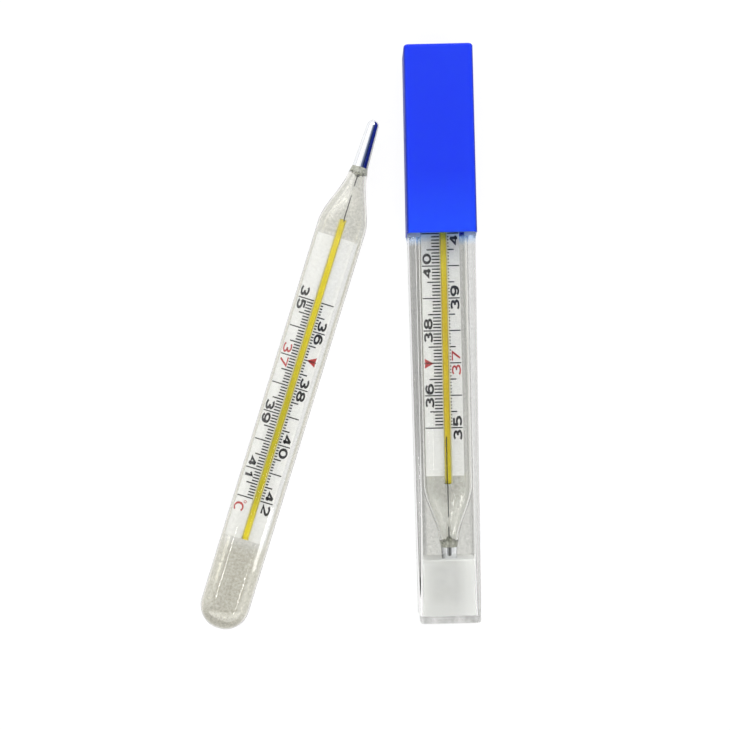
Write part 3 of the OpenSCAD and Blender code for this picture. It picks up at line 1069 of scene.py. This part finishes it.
def add_sign(bm, sign, across, along, front, line, height=DIGIT_H):
    """A sign on the plate: it reads along the tube, with its top towards the lower side."""
    wide = DIGIT_W - line
    high = height - line * PEN_FLAT
    for stroke in SIGNS[sign]:
        path = [Vector((across - (y - 0.5) * high, along + (x - 0.5) * wide)) for x, y in stroke]
        add_stroke(bm, path, line, front)


def add_number(bm, number, across, along, front, line):
    """Two digits, one on each side of their mark."""
    first, second = str(number)
    step = (DIGIT_W + DIGIT_GAP) / 2
    add_sign(bm, first, across, along - step, front, line)
    add_sign(bm, second, across, along + step, front, line)


def add_unit(bm, across, along, front):
    """The sign of degrees Celsius."""
    add_sign(bm, "C", across, along, front, RED_LINE, UNIT_H)
    ring_across = across - UNIT_H / 2
    ring_along = along - DIGIT_W / 2 - DEGREE_R
    ring = arc(ring_across, ring_along, DEGREE_R, DEGREE_R, 0, 360)
    add_stroke(bm, [Vector(point) for point in ring], DEGREE_LINE, front)


def add_arrow(bm, centre, along, front):
    """A notched arrowhead that points at the stem."""
    outline = [
        (ARROW_APEX, 0),
        (ARROW_TAIL, ARROW_W / 2),
        (ARROW_TAIL + ARROW_NOTCH, 0),
        (ARROW_TAIL, -ARROW_W / 2),
    ]
    levels = (front, front + PRINT_T)
    rows = [[bm.verts.new((centre + u, along + v, level)) for u, v in outline] for level in levels]
    join_rings(bm, rows[0], rows[1])
    bm.faces.new(rows[0])
    bm.faces.new(rows[1])


def make_print(prefix, place, looks):
    """Black numerals, and in red the body's temperature, its arrow and the unit."""
    plate_low, plate_high = node_span(prefix + "_scale_plate", place)
    marks_low, marks_high = node_span(prefix + "_scale_marks", place)
    front = plate_high.z
    centre = (marks_low.x + marks_high.x) / 2
    black = bmesh.new()
    red = bmesh.new()
    for number in range(SCALE_LOW, SCALE_HIGH + 1):
        share = (number - SCALE_LOW) / (SCALE_HIGH - SCALE_LOW)
        along = mix(marks_low.y, marks_high.y, share)
        across = centre + (ODD_ACROSS if number % 2 else EVEN_ACROSS)
        if number == NORMAL:
            add_number(red, number, across, along, front, RED_LINE)
            add_arrow(red, centre, along, front)
        else:
            add_number(black, number, across, along, front, BLACK_LINE)
    add_unit(red, centre + ODD_ACROSS, marks_high.y + UNIT_RISE, front)
    for signs in (black, red):
        bmesh.ops.recalc_face_normals(signs, faces=signs.faces)
    pieces = [
        add_piece(prefix + "_numerals", black, place, looks["ink"]),
        add_piece(prefix + "_red_print", red, place, looks["red_ink"]),
    ]
    return pieces


def dress_node(node, material):
    """A better material on a solid that stays."""
    frame["nodes"][node].material_slots[0].material = material


def dress_thermometer(prefix, looks):
    place = thermometer_place(prefix)
    body = prefix + "_thermometer"
    makers = (
        make_envelope, make_bulb, make_bulb_mercury, make_column,
        make_seal, make_neck_tube, make_stem, make_pale_enamel,
    )
    fixed = [make(prefix, place, looks) for make in makers]
    fixed += make_print(prefix, place, looks)
    for piece in fixed:
        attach(piece, body)
    make_thread(prefix, place, looks)
    make_head(prefix, place, looks)
    dress_node(prefix + "_backing", looks[prefix + "_enamel"])
    dress_node(prefix + "_scale_plate", looks["plate"])
    dress_node(prefix + "_scale_marks", looks["ink"])


# The case


def make_case_body(place, looks):
    low, high = node_span("case_body", place)
    cap_low, cap_high = node_span("case_cap", place)
    thickness = high.z - low.z
    cap_w = cap_high.x - cap_low.x
    shoulder = cap_low.y
    inset = CAP_WALL + CAP_FIT
    neck_w = cap_w - 2 * inset
    neck_t = thickness - 2 * inset
    neck_r = POCKET_R + CAP_FIT
    pocket_mouth_w = neck_w - 2 * NECK_WALL
    pocket_t = neck_t - 2 * NECK_WALL
    top_w = cap_w - 2 * BODY_STEP
    pocket_foot_w = foot_width(place)
    base_w = pocket_foot_w + 2 * CASE_WALL
    rings = [pole(0)]
    for sine, cosine in quarter(EDGE_STEPS):
        drawn = BASE_EDGE * (1 - sine)
        along = BASE_EDGE * (1 - cosine)
        base_t = thickness - 2 * drawn * BASE_BEVEL
        rings.append(box_ring(along, base_w - 2 * drawn, base_t, CORNER_R - drawn, LOWER_R))
    rings += [
        box_ring(shoulder - RIM_LEN, top_w, thickness, CORNER_R, LOWER_R),
        box_ring(shoulder, cap_w - 2 * RIM_STEP, thickness, CORNER_R, LOWER_R),
        box_ring(shoulder, neck_w, neck_t, neck_r),
        box_ring(high.y, neck_w, neck_t, neck_r),
        box_ring(high.y, pocket_mouth_w, pocket_t, POCKET_R),
        box_ring(BASE_T, pocket_foot_w, pocket_t, POCKET_R),
        pole(BASE_T),
    ]
    piece = add_piece("case_shell", skin(rings), place, looks["clear_plastic"])
    keep_flats(piece)
    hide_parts("case_body")
    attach(piece, "case")


def foot_width(place):
    """Width of the pocket at its foot, from the cushion that fills it."""
    low, high = node_span("case_cushion", place)
    return high.x - low.x + 2 * CUSHION_GAP


def make_cushion(place, looks):
    """A soft block with a crowned top, drawn in at its sides, and a bore for the bulb."""
    low, high = node_span("case_cushion", place)
    bulb_low, bulb_high = node_span("cased_bulb", place)
    width = high.x - low.x
    thickness = high.z - low.z

    def block_ring(along, drawn):
        return box_ring(along, width - 2 * drawn, thickness - 2 * drawn, POCKET_R)

    rings = [pole(low.y)]
    for sine, cosine in quarter(EDGE_STEPS):
        along = low.y + CUSHION_FOOT_EDGE * (1 - cosine)
        rings.append(block_ring(along, CUSHION_FOOT_EDGE * (1 - sine)))
    side_low = low.y + CUSHION_FOOT_EDGE
    side_high = high.y - CUSHION_EDGE
    for share in shares(CURVE_STEPS)[1:-1]:
        rings.append(block_ring(mix(side_low, side_high, share), CUSHION_DRAW * math.sin(math.pi * share)))
    for sine, cosine in quarter(ROUND_STEPS):
        rings.append(block_ring(side_high + CUSHION_EDGE * sine, CUSHION_EDGE * (1 - cosine)))
    guide = rings[-1]
    bore = []
    for along, radius in bulb_profile(bulb_high.y - bulb_low.y, -BULB_GAP)[::-1]:
        if bulb_low.y + along < high.y and radius > 0:
            bore.append(ring_like(guide, bulb_low.y + along, radius))
    bore.append(pole(bulb_low.y - BULB_GAP))
    rings += moved(bore, (bulb_low.x + bulb_high.x) / 2)
    piece = add_piece("case_pad", skin(rings), place, looks["cushion"])
    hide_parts("case_cushion")
    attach(piece, "case")


def make_cap(place, looks):
    low, high = node_span("case_cap", place)
    width = high.x - low.x
    thickness = high.z - low.z
    top_w = width - 2 * CAP_DRAFT
    inner_w = width - 2 * CAP_WALL
    inner_t = thickness - 2 * CAP_WALL
    inner_r = POCKET_R + 2 * CAP_FIT
    rings = [
        pole(high.y - CAP_TOP),
        box_ring(high.y - CAP_TOP, inner_w - 2 * CAP_DRAFT, inner_t, inner_r),
        box_ring(low.y + NECK_LEN, inner_w, inner_t, inner_r),
        box_ring(low.y, inner_w, inner_t, inner_r),
        box_ring(low.y, width, thickness, CORNER_R),
    ]
    edge_top = high.y - CAP_CROWN
    for sine, cosine in quarter(ROUND_STEPS):
        drawn = CAP_EDGE * (1 - cosine)
        along = edge_top - CAP_EDGE + CAP_EDGE * sine
        rings.append(box_ring(along, top_w - 2 * drawn, thickness - 2 * drawn, CORNER_R - drawn))
    crown_w = top_w - 2 * CROWN_INSET
    crown_t = thickness - 2 * CROWN_INSET
    rings += [box_ring(high.y, crown_w, crown_t, CROWN_R), pole(high.y)]
    piece = add_piece("case_lid", skin(rings), place, looks["blue_plastic"])
    keep_flats(piece)
    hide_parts("case_cap")
    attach(piece, "cap")


# The stage


def make_floor():
    material, shader = start_material("pale_floor", FLOOR)
    vary_colour(material, shader, grain(material, *FLOOR_CLOUD), *FLOOR_COLOURS)
    bm = bmesh.new()
    bmesh.ops.create_grid(bm, x_segments=1, y_segments=1, size=FLOOR_SIZE)
    floor = add_piece("floor", bm, Matrix.Translation((0, 0, -FLOOR_GAP)), material)


def soft_step(owner, value, places, low=0, high=1):
    return map_range(owner, value, *places, low, high, "SMOOTHSTEP")


def make_world():
    """A soft dome, brightest at the two ends, where the tubes mirror none of it, and dim overhead."""
    world = bpy.data.worlds.new("dome")
    world.use_nodes = True
    place = add_node(world, "ShaderNodeTexCoord")
    split = add_node(world, "ShaderNodeSeparateXYZ")
    link(world, place.outputs["Generated"], split.inputs["Vector"])
    x, y, z = split.outputs
    light = soft_step(world, z, HORIZON_Z, HORIZON_LIGHT, SIDE_LIGHT)
    roof = add_math(world, "MULTIPLY", soft_step(world, z, ROOF_Z), soft_step(world, y, ROOF_Y))
    light = add_math(world, "MULTIPLY_ADD", roof, ROOF_LIGHT - SIDE_LIGHT, light)
    away = add_math(world, "ABSOLUTE", add_math(world, "SUBTRACT", x, OVERHEAD_X))
    overhead = add_math(world, "MULTIPLY", roof, soft_step(world, away, OVERHEAD_REACH))
    light = add_math(world, "MULTIPLY_ADD", overhead, OVERHEAD_LIGHT - ROOF_LIGHT, light)
    ends = soft_step(world, add_math(world, "ABSOLUTE", y), END_Y)
    ends = add_math(world, "MULTIPLY", ends, soft_step(world, z, END_Z))
    light = add_math(world, "MULTIPLY_ADD", ends, END_LIGHT - SIDE_LIGHT, light)
    flag = soft_step(world, z, FLAG_Z)
    for value, places in ((x, FLAG_X), (y, FLAG_NEAR_Y), (y, FLAG_FAR_Y)):
        flag = add_math(world, "MULTIPLY", flag, soft_step(world, value, places))
    blue = mix_colours(world, soft_step(world, x, FLAG_DEEP_X), FLAG_EDGE, FLAG_COLOUR)
    background = world.node_tree.nodes["Background"]
    link(world, mix_colours(world, flag, light, blue), background.inputs["Color"])
    background.inputs["Strength"].default_value = 1
    bpy.context.scene.world = world


def add_lamp(name, ends, width, radiance):
    """A flat lamp that faces the object and draws a streak along round glass."""
    start, end = [Vector(point) for point in ends]
    lamp = bpy.data.lights.new(name, "AREA")
    lamp.shape = "RECTANGLE"
    lamp.size = width
    lamp.size_y = (end - start).length
    lamp.energy = radiance * math.pi * lamp.size * lamp.size_y
    strip = bpy.data.objects.new(name, lamp)
    middle = (start + end) / 2
    along = (end - start).normalized()
    across = along.cross(middle).normalized()
    turn = Matrix((across, along, across.cross(along))).transposed().to_4x4()
    strip.matrix_world = Matrix.Translation(middle) @ turn
    bpy.context.scene.collection.objects.link(strip)


def make_camera():
    """Straight above, at the distance that the photograph's perspective shows."""
    data = bpy.data.cameras.new("camera")
    data.sensor_width = CAMERA_SENSOR
    data.lens = CAMERA_LENS
    camera = bpy.data.objects.new("camera", data)
    camera.location = CAMERA_PLACE
    camera.rotation_euler = (0, 0, math.radians(CAMERA_TURN))
    bpy.context.scene.collection.objects.link(camera)
    bpy.context.scene.camera = camera


def set_light_paths():
    """Rays have to cross the case, the tube and the stem, and come back."""
    cycles = bpy.context.scene.cycles
    cycles.max_bounces = BOUNCES
    cycles.transmission_bounces = BOUNCES
    cycles.transparent_max_bounces = BOUNCES
    cycles.blur_glossy = 0
    bpy.context.scene.view_settings.view_transform = "Standard"


def main():
    place = case_place()
    looks = make_materials(node_span("case_cap", place)[0].y, node_span("case_cushion", place)[1].y)
    dress_thermometer("loose", looks)
    dress_thermometer("cased", looks)
    make_case_body(place, looks)
    make_cushion(place, looks)
    make_cap(place, looks)
    make_floor()
    make_world()
    add_lamp("left_strip", LEFT_STRIP, LEFT_STRIP_W, STRIP_RADIANCE)
    add_lamp("right_strip", RIGHT_STRIP, RIGHT_STRIP_W, STRIP_RADIANCE)
    add_lamp("right_box", RIGHT_BOX, BOX_W, BOX_RADIANCE)
    make_camera()
    set_light_paths()


main()
